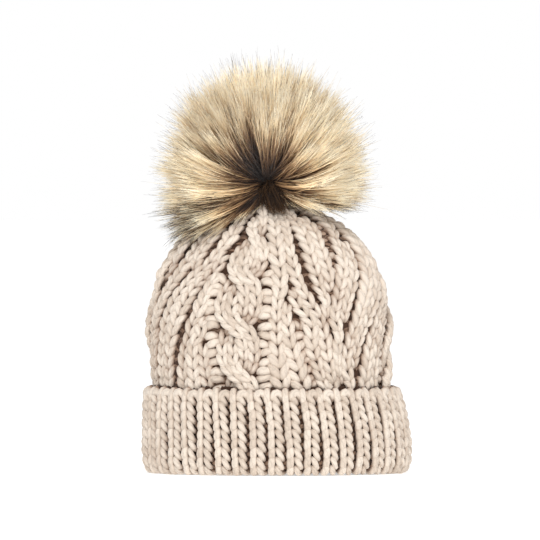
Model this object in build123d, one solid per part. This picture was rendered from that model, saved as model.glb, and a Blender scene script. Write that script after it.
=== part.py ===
"""A chunky knitted beanie with a turned-up rib cuff and a large fur pom pom.

The hat stands on the fold of its cuff. +Z is up, -Y is the front, and the origin is the
centre of the cuff's resting face. The pom pom is held by an elastic loop that passes through
the gathered peak of the crown and round a two-hole button inside it. The loop's knot seats in
the pom pom's base disc like a ball, so the pom pom leans on the knot, turns with the button,
and can be pulled off the crown a little. All sizes are in millimetres.
"""

import os
from math import acos, cos, sin, sqrt

from build123d import *

# ---- hat: overall sizes ----
cuff_width = 190.0  # widest, outside to outside
cuff_depth = 140.0  # front to back, outside to outside
cuff_height = 60.0  # fold to free edge
crown_width = 172.0  # widest part of the crown
crown_belly_height = 95.0  # height of the crown's widest part
hat_height = 190.0  # fold to knitted peak
dome_roundness = 2.35  # 2 is an elliptical dome, more is squarer
dome_steps = 8  # sections from the belly to the peak
dome_crowding = 0.85  # below 1 sets the sections closer together near the peak
crown_lean = -5.5  # sideways offset of the crown over the cuff
lean_start = 15.0  # the lean grows from this height
lean_end = 90.0  # to this one

# ---- knitted fabric ----
rib_thickness = 7.0  # one layer of the rib
crown_thickness = 7.5  # cabled fabric
layer_gap = 0.4  # between the cuff and the band behind it
band_rise = 2.0  # the cables start this far over the cuff's free edge
cuff_top_taper = 5.0  # the free edge is this much narrower than the widest part
cuff_fold_taper = 1.5  # and the fold this much
fold_round = 4.5  # outer radius of the fold
mouth_round = 3.5  # inner radius of the fold
edge_round = 2.4  # radius of the free edge
base_swell = 0.75  # share of the way out to the belly, half way up to it
crown_overhang = 2.15  # the crown's lowest edge stands out over the band by this

# ---- peak of the crown ----
drawstring_radius = 2.2  # yarn that closes the last round of stitches
drawstring_ring_radius = 12.0
drawstring_gap = 0.1  # round the yarn where it runs through the fabric

# ---- elastic loop and button ----
cord_radius = 1.1
cord_parting = 1.2  # between the two strands
cord_gap = 0.5  # round both strands in the peak's hole
button_radius = 9.0
button_thickness = 3.2
button_rim = 1.6  # width of the raised rim
button_rim_height = 0.8
button_edge_round = 0.8
button_hole_gap = 0.05
button_side_room = 0.58  # from the button's edge to where the crown's inside starts to curve down
button_gap = 0.4  # between the button and the fabric above it
knot_radius = 5.2
knot_gap = 0.1  # between the knot and what it turns in

# ---- pom pom ----
pom_radius = 71.0
pom_lift = 4.6  # from the knitted peak to the underside of the pile and its base disc
pom_centre_rise = 25.4  # from that underside to the ball's centre
skirt_inner_radius = 44.0  # the pile's underside starts to slope down here
skirt_outer_radius = 66.0
skirt_drop = 10.5
base_disc_radius = 15.0
base_disc_thickness = 1.6
base_hole_room = 1.4  # round both strands, so that the pom pom can lean
base_disc_gap = 0.2
ball_radius = 25.0  # outside of the fur's backing
backing_thickness = 1.6
gather_thread_radius = 0.9
strand_room = 1.5  # wider than the disc's hole, round the strands inside the pom pom

# ---- sizes that follow ----
depth_ratio = cuff_depth / cuff_width
cuff_half = cuff_width / 2
crown_half = crown_width / 2
peak_x = crown_lean
band_top = cuff_height + band_rise
band_outside = rib_thickness + layer_gap
cord_spacing = 2 * cord_radius + cord_parting
strands_reach = cord_spacing / 2 + cord_radius
peak_flat = (button_radius + button_side_room) / depth_ratio
base_hole_radius = strands_reach + base_hole_room
pom_base_height = hat_height + pom_lift
pom_centre_height = pom_base_height + pom_centre_rise


def lean_at(z):
    """Sideways offset of the hat's centre line at height z."""
    t = min(1.0, max(0.0, (z - lean_start) / (lean_end - lean_start)))
    return crown_lean * t * t * (3 - 2 * t)


def oval(z, half_width, shrink=0.0):
    """An elliptical section at height z, drawn in by shrink all round."""
    return Pos(lean_at(z), 0, z) * Ellipse(half_width - shrink, half_width * depth_ratio - shrink)


def barrel(levels, shrink=0.0):
    """A solid lofted through (height, half width) levels, each drawn in by shrink."""
    return loft([oval(z, half, shrink) for z, half in levels])


def cuff_half_at(z):
    """Half width of the cuff's outside at height z: widest a quarter of the way up."""
    widest = cuff_height / 4
    if z < widest:
        return cuff_half - cuff_fold_taper * ((widest - z) / widest) ** 2
    return cuff_half - cuff_top_taper * ((z - widest) / (cuff_height - widest)) ** 2


def levels_between(low, high, count, half_at):
    """Evenly spaced (height, half width) levels from low to high."""
    heights = [low + (high - low) * i / (count - 1) for i in range(count)]
    return [(z, half_at(z)) for z in heights]


def dome_levels(half, rise, flat):
    """Levels of a rounded dome from its belly to a level spot of half width flat."""
    power = 2 / dome_roundness
    last = acos((flat / half) ** (1 / power))
    angles = [last * (i / dome_steps) ** dome_crowding for i in range(dome_steps + 1)]
    full_rise = rise / sin(last) ** power
    return [(crown_belly_height + full_rise * sin(a) ** power, half * cos(a) ** power) for a in angles]


def crown_levels(draw_in):
    """Levels of the crown's outside, or of its inside where draw_in is its thickness."""
    half = crown_half - draw_in
    low = cuff_half_at(band_top) - band_outside + crown_overhang - draw_in
    middle = low + (half - low) * base_swell
    belly = [(band_top, low), ((band_top + crown_belly_height) / 2, middle)]
    return belly + dome_levels(half, hat_height - crown_belly_height - draw_in, peak_flat)


def post(radius, low, high, x=0.0, y=0.0):
    """An upright cylinder on the pom pom's axis, or beside it."""
    return Pos(peak_x + x, y, (low + high) / 2) * Cylinder(radius, high - low)


def turned_up_cuff():
    """The outer layer of the brim with the fold under it, open at the mouth and the top."""
    body = barrel(levels_between(0, cuff_height, 5, cuff_half_at))
    slot_low = rib_thickness
    slot = levels_between(slot_low, cuff_height + 1, 5, cuff_half_at)
    mouth = levels_between(-1, rib_thickness + 1, 3, cuff_half_at)
    body -= barrel(slot, rib_thickness)
    body -= barrel(mouth, band_outside + rib_thickness)
    rings = body.edges().group_by(Axis.Z)[0].sort_by(SortBy.LENGTH)
    body = fillet(rings[-1], fold_round)
    rings = body.edges().group_by(Axis.Z)[0].sort_by(SortBy.LENGTH)
    body = fillet(rings[0], mouth_round)
    return fillet(body.edges().group_by(Axis.Z)[-1], edge_round)


def inner_rib_band():
    """The inner layer of the brim, standing on the fold and carrying the crown."""
    levels = levels_between(rib_thickness, band_top, 5, cuff_half_at)
    reach = levels_between(rib_thickness - 1, band_top + 1, 5, cuff_half_at)
    return barrel(levels, band_outside) - barrel(reach, band_outside + rib_thickness)


def crown_base_hollow():
    """The crown's inside, run on below its lowest edge so that the cut is clean."""
    levels = crown_levels(crown_thickness)
    return barrel([(band_top - 1, levels[0][1])] + levels[1:])


def cable_crown():
    """The cabled dome, with a hole at the peak and a tunnel for the drawstring."""
    body = barrel(crown_levels(0)) - crown_base_hollow()
    hole = strands_reach + cord_gap
    body -= post(hole, hat_height - 3 * crown_thickness, hat_height + 1)
    return body - drawstring_ring(drawstring_radius + drawstring_gap)


def drawstring_ring(radius):
    """A ring of yarn in the middle of the fabric, round the peak."""
    middle = hat_height - crown_thickness / 2
    return Pos(peak_x, 0, middle) * Torus(drawstring_ring_radius, radius)


def button_top():
    """Height of the button's upper face."""
    return hat_height - crown_thickness - button_gap


def button_web():
    """Height of the underside of the button's web, inside its rim."""
    return button_top() - button_thickness + button_rim_height


def inner_button():
    """A two-hole button with a raised rim underneath, where the fingers find it."""
    top = button_top()
    bottom = top - button_thickness
    body = post(button_radius, bottom, top)
    body -= post(button_radius - button_rim, bottom - 1, button_web())
    for x in (-cord_spacing / 2, cord_spacing / 2):
        body -= post(cord_radius + button_hole_gap, bottom - 1, top + 1, x)
    rim = body.edges().group_by(Axis.Z)[0].sort_by(SortBy.LENGTH)[-1]
    return fillet(rim, button_edge_round)


def knot_height():
    """Height of the knot's centre: it is seated in the mouth of the base disc's hole."""
    seat = sqrt((knot_radius + knot_gap) ** 2 - base_hole_radius**2)
    return pom_base_height + base_disc_thickness + seat


def elastic_loop():
    """The doubled cord: round the button's web, up through the peak and to the knot."""
    side = cord_spacing / 2
    turn = button_web() - button_hole_gap
    left = Line((-side, 0, knot_height()), (-side, 0, turn))
    bend = ThreePointArc((-side, 0, turn), (0, 0, turn - side), (side, 0, turn))
    right = Line((side, 0, turn), (side, 0, knot_height()))
    path = Curve() + [left, bend, right]
    section = Plane(origin=left @ 0, z_dir=left % 0) * Circle(cord_radius)
    strands = Pos(peak_x, 0, 0) * sweep(section, path=path)
    return strands - Pos(peak_x, 0, knot_height()) * Sphere(knot_radius + knot_gap)


def loop_knot():
    """The knot that ends the loop, a ball that the pom pom leans on."""
    return Pos(peak_x, 0, knot_height()) * Sphere(knot_radius)


def pom_base_disc():
    """The disc that closes the gathered fur and that the loop passes through."""
    top = pom_base_height + base_disc_thickness
    disc = post(base_disc_radius, pom_base_height, top)
    return disc - post(base_hole_radius, pom_base_height - 1, top + 1)


def gather_height():
    """Height of the gathered mouth of the fur's backing."""
    return pom_base_height + base_disc_thickness + 2 * gather_thread_radius


def pom_ball(radius):
    """A ball on the pom pom's centre, cut level at the gathered mouth."""
    below = pom_centre_height - gather_height()
    cutter = post(2 * radius, gather_height() - 2 * below, gather_height())
    return Pos(peak_x, 0, pom_centre_height) * Sphere(radius) - cutter


def pom_gather_thread():
    """The thread that draws the edge of the fur's backing together."""
    below = pom_centre_height - gather_height()
    ring = sqrt(ball_radius**2 - below**2) - backing_thickness / 2
    height = gather_height() - gather_thread_radius
    return Pos(peak_x, 0, height) * Torus(ring, gather_thread_radius)


def knot_pocket():
    """Room inside the pom pom for the knot and the strands, whichever way it leans."""
    room = Pos(peak_x, 0, knot_height()) * Sphere(knot_radius + strand_room)
    return room + post(base_hole_radius + strand_room, pom_base_height - 1, knot_height())


def pom_stuffing():
    """The ball of fibre inside the backing."""
    return pom_ball(ball_radius - backing_thickness) - knot_pocket()


def pom_backing():
    """The knitted backing of the fur, a bag round the stuffing."""
    return pom_ball(ball_radius) - pom_ball(ball_radius - backing_thickness) - knot_pocket()


def pom_fur_pile():
    """The pile as a closed form: a ball with a level underside and a low skirt round it."""
    pile = Pos(peak_x, 0, pom_centre_height) * Sphere(pom_radius)
    skirt_low = pom_base_height - skirt_drop
    hollow = Cone(skirt_outer_radius, skirt_inner_radius, skirt_drop)
    pile -= Pos(peak_x, 0, pom_base_height - skirt_drop / 2) * hollow
    pile -= post(pom_radius, pom_centre_height - 2 * pom_radius, skirt_low)
    pile -= pom_ball(ball_radius)
    seat = base_disc_radius + base_disc_gap
    return pile - post(seat, pom_base_height - 1, gather_height())


PARTS = {
    "turned_up_cuff": turned_up_cuff,
    "inner_rib_band": inner_rib_band,
    "cable_crown": cable_crown,
    "crown_drawstring": lambda: drawstring_ring(drawstring_radius),
    "inner_button": inner_button,
    "elastic_loop": elastic_loop,
    "loop_knot": loop_knot,
    "pom_base_disc": pom_base_disc,
    "pom_gather_thread": pom_gather_thread,
    "pom_stuffing": pom_stuffing,
    "pom_backing": pom_backing,
    "pom_fur_pile": pom_fur_pile,
}

os.makedirs("parts", exist_ok=True)
for name, make in PARTS.items():
    export_step(make(), f"parts/{name}.step")
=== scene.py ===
"""Looks of a chunky cable-knit beanie with a long-haired pom pom, built stitch by stitch.

Lengths are in millimetres until a mesh is made. A point of the knitting is given by where it
sits round the hat, how far along its column it is, and its lift out of the fabric.
"""

import logging
from dataclasses import dataclass, field
from enum import Enum
from math import pi, radians, tau
from typing import Callable

import bmesh
import bpy
import numpy as np
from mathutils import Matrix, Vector


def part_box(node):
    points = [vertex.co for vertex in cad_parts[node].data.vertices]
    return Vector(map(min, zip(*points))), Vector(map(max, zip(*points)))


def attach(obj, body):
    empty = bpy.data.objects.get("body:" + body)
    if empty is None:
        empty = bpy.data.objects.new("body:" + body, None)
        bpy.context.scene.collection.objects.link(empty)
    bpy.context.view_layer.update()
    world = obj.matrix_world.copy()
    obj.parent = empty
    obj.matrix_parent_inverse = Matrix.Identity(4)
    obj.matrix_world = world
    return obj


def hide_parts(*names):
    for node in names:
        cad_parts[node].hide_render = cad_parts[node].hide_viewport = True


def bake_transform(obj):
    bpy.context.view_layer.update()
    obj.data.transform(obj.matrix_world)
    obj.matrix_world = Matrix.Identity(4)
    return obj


Array = np.ndarray
Socket = bpy.types.NodeSocket
Piece = bpy.types.Object
Triple = tuple[float, float, float]
LOG = logging.getLogger("beanie")

MM = 0.001  # metres in a millimetre
CELL_SHAPE = 2.2  # columns of the baking map for each of its rows
CELL_MARGIN = 0.08  # share of a cell left free at each of its edges
CAP_SHARE = 0.4  # radius of a strand's end in its cell, as a share of that margin
YARN_RADIUS = 2.55  # radius of the knitting yarn, in millimetres
CLOSING = 16.0  # height over which a furrow closes, in millimetres
CLOSED = 0.85  # share of a furrow's width that is lost where it is closed


# ---- tools for strands


@dataclass
class StrandBatch:
    """Many short strands of yarn or hair, gathered to become one mesh."""

    sides: int
    parts: list[tuple[Array, ...]] = field(default_factory=list)

    def add(self, paths: Array, radii: Array, outward: Array, rise: Array, tint: Array) -> None:
        """Adds strands that have the same number of points.

        Args:
            paths: Points of each strand, (strands, points, 3).
            radii: Radius at each point, (strands, points).
            outward: Direction away from the fabric at each point, (strands, points, 3).
            rise: How far the strand's middle stands out of the fabric, (strands, points); the yarn's
                material paints shade from it where it is low.
            tint: A shade of its own for each strand, (strands,).
        """
        self.parts.append((paths, radii, outward, rise, tint))

    def add_one(self, path: Array, radius: float, outward: Triple) -> None:
        """Adds a single strand of even thickness.

        Args:
            path: Its points, (points, 3).
            radius: Its radius.
            outward: Direction away from the fabric.
        """
        row = np.ones((1, len(path)))
        facing = np.broadcast_to(outward, (1, len(path), 3))
        self.add(path[None], radius * row, facing, row, np.full(1, 0.5))

    def build(self, name: str) -> Piece:
        """Makes one object of all the strands, as closed tubes.

        Args:
            name: Name of the piece.

        Returns:
            The new object, linked to the scene.
        """
        paths, radii, outward, rise, tint = (np.concatenate(part) for part in zip(*self.parts))
        count, rings, _ = paths.shape
        sides = self.sides
        length = np.cumsum(np.linalg.norm(np.diff(paths, axis=1), axis=2), axis=1)
        length = np.concatenate([np.zeros((count, 1)), length], axis=1)
        along = unit(np.gradient(paths, axis=1))
        normal = unit(outward - along * np.sum(outward * along, axis=2, keepdims=True))
        side = np.cross(along, normal)
        angle = np.arange(sides) * tau / sides
        spoke = normal[:, :, None] * np.cos(angle)[:, None]
        spoke = spoke + side[:, :, None] * np.sin(angle)[:, None]
        verts = (paths[:, :, None] + spoke * radii[:, :, None, None]) * MM
        index = np.arange(count * rings * sides).reshape(count, rings, sides)
        ahead = np.roll(index, -1, axis=2)
        quads = np.stack([index[:, :-1], ahead[:, :-1], ahead[:, 1:], index[:, 1:]], axis=-1)
        caps = np.concatenate([index[:, 0, ::-1], index[:, -1]])
        mesh = bpy.data.meshes.new(name)
        mesh.vertices.add(index.size)
        mesh.vertices.foreach_set("co", verts.ravel())
        corners = np.concatenate([quads.ravel(), caps.ravel()])
        quad_count = quads.size // 4
        cap_starts = quad_count * 4 + np.arange(2 * count) * sides
        starts = np.concatenate([np.arange(quad_count) * 4, cap_starts])
        mesh.loops.add(corners.size)
        mesh.loops.foreach_set("vertex_index", corners)
        mesh.polygons.add(starts.size)
        mesh.polygons.foreach_set("loop_start", starts)
        mesh.update(calc_edges=True)
        self._map(mesh, count, rings, length, radii)
        # The stored rise is what the yarn's material paints shade from: brown on the sides of low strands,
        # near-black in the recesses.
        set_float(mesh, "rise", (rise[:, :, None] + radii[:, :, None] * np.cos(angle)).ravel())
        set_float(mesh, "along", np.tile(np.repeat(np.linspace(0, 1, rings), sides), count))
        set_float(mesh, "tint", np.repeat(tint, rings * sides))
        mesh.validate()
        return link(name, mesh)

    def _map(
        self, mesh: bpy.types.Mesh, count: int, rings: int, length: Array, radii: Array
    ) -> None:
        """Gives each strand its own cell of the baking map, and a map round and along it.

        Args:
            mesh: The mesh of all the strands.
            count: Number of strands.
            rings: Points along each strand.
            length: Length along each strand at each point, (strands, points).
            radii: Radius at each point, (strands, points).
        """
        sides = self.sides
        columns = int(np.ceil(np.sqrt(count * CELL_SHAPE)))
        rows = int(np.ceil(count / columns))
        cell = np.stack([np.arange(count) % columns, np.arange(count) // columns], axis=-1)
        near = np.arange(sides) / sides
        far = near + 1 / sides
        shape = (count, rings - 1, sides, 4)
        u = np.broadcast_to(np.stack([near, far, far, near], axis=-1), shape)
        ring = np.arange(rings - 1)
        step = np.stack([ring, ring, ring + 1, ring + 1], axis=-1) / (rings - 1)
        v = np.broadcast_to(step[None, :, None], shape)
        turns = length / (2 * radii.mean(axis=1, keepdims=True))
        run = np.stack([turns[:, :-1], turns[:, :-1], turns[:, 1:], turns[:, 1:]], axis=-1)
        run = np.broadcast_to(run[:, :, None], shape)
        span = 1 - 2 * CELL_MARGIN
        bake = CELL_MARGIN + span * np.stack([u, v], axis=-1) + cell[:, None, None, None]
        angle = np.arange(sides) * tau / sides
        disc = CELL_MARGIN * CAP_SHARE * np.stack([np.cos(angle), np.sin(angle)], axis=-1)
        edges = (CELL_MARGIN / 2, 1 - CELL_MARGIN / 2)
        ends = [cell[:, None] + (0.5, edge) + disc for edge in edges]
        bake = np.concatenate([bake.reshape(-1, 2), *(end.reshape(-1, 2) for end in ends)])
        strand = np.stack([u, run], axis=-1).reshape(-1, 2)
        strand = np.concatenate([strand, np.zeros((2 * count * sides, 2))])
        for name, values in (("OFBake", bake / (columns, rows)), ("Strand", strand)):
            layer = mesh.uv_layers.new(name=name)
            layer.uv.foreach_set("vector", values.astype(np.float32).ravel())


def unit(vectors: Array) -> Array:
    """Vectors scaled to length one."""
    return vectors / np.maximum(np.linalg.norm(vectors, axis=-1, keepdims=True), 1e-9)


def set_float(mesh: bpy.types.Mesh, name: str, values: Array) -> None:
    """Stores one number per vertex under a name that a material can read."""
    mesh.attributes.new(name, "FLOAT", "POINT").data.foreach_set("value", values.astype(np.float32))


def link(name: str, mesh: bpy.types.Mesh) -> Piece:
    """Puts a mesh in the scene, smooth all over, as an object of that name.

    Args:
        name: Name of the piece.
        mesh: Its mesh.

    Returns:
        The new object.
    """
    mesh.polygons.foreach_set("use_smooth", np.ones(len(mesh.polygons), bool))
    piece = bpy.data.objects.new(name, mesh)
    bpy.context.scene.collection.objects.link(piece)
    return piece


def surface(name: str, verts: Array, faces: Array) -> Piece:
    """Makes a smooth piece of four-sided faces.

    Args:
        name: Name of the piece.
        verts: Its points, with a last axis of three.
        faces: Four indices of points for each face.

    Returns:
        The new object, linked to the scene.
    """
    mesh = bpy.data.meshes.new(name)
    mesh.from_pydata((verts.reshape(-1, 3) * MM).tolist(), [], faces.reshape(-1, 4).tolist())
    return link(name, mesh)


def in_mm(box: tuple) -> tuple[Array, Array]:
    """A box's lowest and highest corner, in millimetres."""
    return np.array(box[0]) / MM, np.array(box[1]) / MM


def smooth_path(points: Array, count: int) -> Array:
    """A smooth curve through a few points, for many strands at once.

    Args:
        points: Points to pass through, (strands, few, 3).
        count: Number of points wanted along each curve.

    Returns:
        Points on the curves, (strands, count, 3).
    """
    few = points.shape[1]
    before = 2 * points[:, :1] - points[:, 1:2]
    after = 2 * points[:, -1:] - points[:, -2:-1]
    knots = np.concatenate([before, points, after], axis=1)
    place = np.linspace(0, few - 1, count)
    first = np.minimum(place.astype(int), few - 2)
    t = (place - first)[None, :, None]
    p0, p1, p2, p3 = (knots[:, first + i] for i in range(4))
    bend = 2 * p1 + (p2 - p0) * t + (2 * p0 - 5 * p1 + 4 * p2 - p3) * t**2
    return 0.5 * (bend + (3 * p1 - p0 - 3 * p2 + p3) * t**3)


# ---- form of the hat


@dataclass
class HatForm:
    """The hat's outer shape, read from the frame, with the few sizes that set its curves."""

    cuff_fold_taper: float = 1.5
    cuff_top_taper: float = 5.0
    crown_base_taper: float = 1.7
    belly_height: float = 95.0
    roundness: float = 2.35
    lean_start: float = 15.0
    lean_end: float = 90.0
    crown_start: float = 57.0
    peak_hole: float = 7.0
    oval_turns: int = 2

    def __post_init__(self) -> None:
        """Reads the overall sizes from the boxes of the cuff and the crown."""
        low, high = in_mm(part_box("turned_up_cuff"))
        self.cuff_half = (high[0] - low[0]) / 2
        self.ratio = (high[1] - low[1]) / (high[0] - low[0])
        self.cuff_height = high[2]
        low, high = in_mm(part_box("cable_crown"))
        self.crown_half = (high[0] - low[0]) / 2
        self.lean = (high[0] + low[0]) / 2
        self.peak = high[2]
        self.crown_base = low[2]
        self._profile()

    def lean_at(self, z: Array) -> Array:
        """Sideways offset of the centre line at a height."""
        t = np.clip((z - self.lean_start) / (self.lean_end - self.lean_start), 0, 1)
        return self.lean * t * t * (3 - 2 * t)

    def cuff_half_at(self, z: Array) -> Array:
        """Half width of the cuff's outside at a height.

        Args:
            z: Height.

        Returns:
            Half width.
        """
        widest = self.cuff_height / 4
        below = self.cuff_fold_taper * np.clip((widest - z) / widest, 0, 1) ** 2
        above = self.cuff_top_taper * np.clip((z - widest) / (self.cuff_height - widest), 0, 1) ** 2
        return self.cuff_half - below - above

    def _profile(self) -> None:
        """Tabulates the crown's side by length along it, from below the cuff's edge to the peak."""
        power = 2 / self.roundness
        turn = np.linspace(0, pi / 2, 600)
        half = self.crown_half * np.cos(turn) ** power
        z = self.belly_height + (self.peak - self.belly_height) * np.sin(turn) ** power
        low = np.linspace(self.crown_start, self.belly_height, 60)[:-1]
        down = (self.belly_height - low) / (self.belly_height - self.crown_base)
        half = np.concatenate([self.crown_half - self.crown_base_taper * down**2, half])
        z = np.concatenate([low, z])
        reach = np.concatenate([[0], np.cumsum(np.hypot(np.diff(half), np.diff(z)))])
        self.table = (reach, half, z)
        self.crown_length = float(np.interp(-self.peak_hole, -half, reach))

    def level(self, up: Array) -> tuple[Array, Array]:
        """Half width and height of the crown at a length up its side."""
        reach, half, z = self.table
        return np.interp(up, reach, half), np.interp(up, reach, z)

    def up_at(self, height: Array) -> Array:
        """Length up the crown's side at a height."""
        reach, _, z = self.table
        return np.interp(height, z, reach)

    def crown_point(self, angle: Array, up: Array) -> Array:
        """Points of the crown's outside.

        Args:
            angle: Angle round the hat, 0 at the front.
            up: Length up the crown.

        Returns:
            Points, with a last axis of three.
        """
        half, z = self.level(up)
        x = self.lean_at(z) + half * np.sin(angle)
        return np.stack(np.broadcast_arrays(x, -self.ratio * half * np.cos(angle), z), axis=-1)

    def crown_normal(self, angle: Array, up: Array) -> Array:
        """Directions straight out of the crown.

        Args:
            angle: Angle round the hat.
            up: Length up the crown.

        Returns:
            Directions of length one.
        """
        turn, step = 0.01, 0.8
        across = self.crown_point(angle + turn, up) - self.crown_point(angle - turn, up)
        upward = self.crown_point(angle, up + step) - self.crown_point(angle, up - step)
        return unit(np.cross(across, upward))

    def arc_scale(self, angle: Array, up: Array) -> Array:
        """Millimetres round the crown for a radian of angle."""
        half, _ = self.level(up)
        return half * np.hypot(np.cos(angle), self.ratio * np.sin(angle))

    def angle_at(self, share: Array) -> Array:
        """Angle round an oval, so that equal shares of its perimeter are equal lengths.

        Args:
            share: Share of the way round, 0 at the front.

        Returns:
            Angle round the hat.
        """
        angle = np.linspace(-self.oval_turns * tau, self.oval_turns * tau, 8001)
        speed = np.hypot(np.cos(angle), self.ratio * np.sin(angle))
        reach = np.concatenate([[0], np.cumsum((speed[1:] + speed[:-1]) / 2 * np.diff(angle))])
        perimeter = reach[-1] / (2 * self.oval_turns)
        reach = (reach - np.interp(0, angle, reach)) / perimeter
        return np.interp(share, reach, angle)


# ---- finishes


class Recipe:
    """A material under construction, with short calls for the nodes it needs."""

    def __init__(self, name: str) -> None:
        """Starts a material that has one shader.

        Args:
            name: Name of the material.
        """
        self.material = bpy.data.materials.new(name)
        self.material.use_nodes = True
        self.tree = self.material.node_tree
        self.shader = self.tree.nodes["Principled BSDF"]

    def node(self, kind: str, **settings: object) -> bpy.types.Node:
        """Adds a node and sets its properties.

        Args:
            kind: The node's type, after "ShaderNode".
            settings: Its properties.

        Returns:
            The node.
        """
        made = self.tree.nodes.new("ShaderNode" + kind)
        for key, value in settings.items():
            setattr(made, key, value)
        return made

    def feed(self, socket: Socket, value: object) -> None:
        """Links a socket to another, or sets its value.

        Args:
            socket: Input to feed.
            value: Another socket, or a number or a colour.
        """
        if isinstance(value, Socket):
            self.tree.links.new(value, socket)
        else:
            socket.default_value = value

    def math(self, operation: str, *values: object) -> Socket:
        """The result of a sum on numbers or sockets.

        Args:
            operation: Name of the operation.
            values: What it works on.

        Returns:
            The result.
        """
        made = self.node("Math", operation=operation)
        for socket, value in zip(made.inputs, values):
            self.feed(socket, value)
        return made.outputs[0]

    def scale(
        self, value: object, low: float, high: float, to_low: float = 0, to_high: float = 1
    ) -> Socket:
        """Carries a number smoothly from one range to another.

        Args:
            value: The number.
            low: Start of its range.
            high: End of its range.
            to_low: What the start becomes.
            to_high: What the end becomes.

        Returns:
            The result.
        """
        made = self.node("MapRange", interpolation_type="SMOOTHSTEP")
        for socket, item in zip(made.inputs, (value, low, high, to_low, to_high)):
            self.feed(socket, item)
        return made.outputs[0]

    def noise(self, size_mm: float, detail: float) -> Socket:
        """Noise in three dimensions.

        Args:
            size_mm: About how wide its lumps are.
            detail: How many finer layers it has.

        Returns:
            The noise, about 0 to 1.
        """
        made = self.node("TexNoise")
        self.feed(made.inputs["Scale"], 1 / (size_mm * MM))
        self.feed(made.inputs["Detail"], detail)
        self.feed(made.inputs["Vector"], self.node("TexCoord").outputs["Object"])
        return made.outputs[0]

    def mix(self, share: object, first: object, second: object, blend: str = "MIX") -> Socket:
        """Mixes two colours.

        Args:
            share: Share of the second colour.
            first: The first colour.
            second: The second colour.
            blend: How they are mixed.

        Returns:
            The mixed colour.
        """
        made = self.node("Mix", data_type="RGBA", blend_type=blend)
        for place, value in ((0, share), (6, first), (7, second)):
            self.feed(made.inputs[place], value)
        return made.outputs[2]

    def shaded(self, colour: object, light: object) -> Socket:
        """A colour multiplied by a number, 0 for black and 1 for no change."""
        return self.mix(1.0, colour, self.mix(light, rgb(0, 0, 0), rgb(1, 1, 1)), "MULTIPLY")

    def stored(self, name: str) -> Socket:
        """A number stored on the mesh."""
        return self.node("Attribute", attribute_name=name).outputs["Fac"]

    def ramp(self, value: object, stops: tuple[tuple[float, tuple], ...]) -> Socket:
        """Picks a colour from stops.

        Args:
            value: A number from 0 to 1.
            stops: Pairs of a place from 0 to 1 and a colour.

        Returns:
            The colour.
        """
        made = self.node("ValToRGB")
        band = made.color_ramp
        while len(band.elements) < len(stops):
            band.elements.new(1)
        for element, (place, colour) in zip(band.elements, stops):
            element.position = place
            element.color = colour
        self.feed(made.inputs[0], value)
        return made.outputs[0]

    def bump(self, height: object, depth_mm: float) -> None:
        """Raises the surface, on top of any earlier bump.

        Args:
            height: Height from 0 to 1.
            depth_mm: What a height of 1 stands for.
        """
        made = self.node("Bump")
        self.feed(made.inputs["Height"], height)
        self.feed(made.inputs["Distance"], depth_mm * MM)
        normal = self.shader.inputs["Normal"]
        if normal.links:
            self.feed(made.inputs["Normal"], normal.links[0].from_socket)
        self.feed(normal, made.outputs[0])

    def finish(self, colour: object, roughness: object, **constants: float) -> bpy.types.Material:
        """Feeds the shader and returns the material.

        Args:
            colour: Base colour, as a value or a socket.
            roughness: Roughness, as a value or a socket.
            constants: Other shader inputs, named with underscores for spaces.

        Returns:
            The finished material.
        """
        self.feed(self.shader.inputs["Base Color"], colour)
        self.feed(self.shader.inputs["Roughness"], roughness)
        for name, value in constants.items():
            label = name.replace("_", " ").title().replace("Ior", "IOR")
            self.shader.inputs[label].default_value = value
        return self.material


def rgb(red: float, green: float, blue: float) -> tuple[float, float, float, float]:
    """A colour with full opacity."""
    return (red, green, blue, 1.0)


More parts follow.
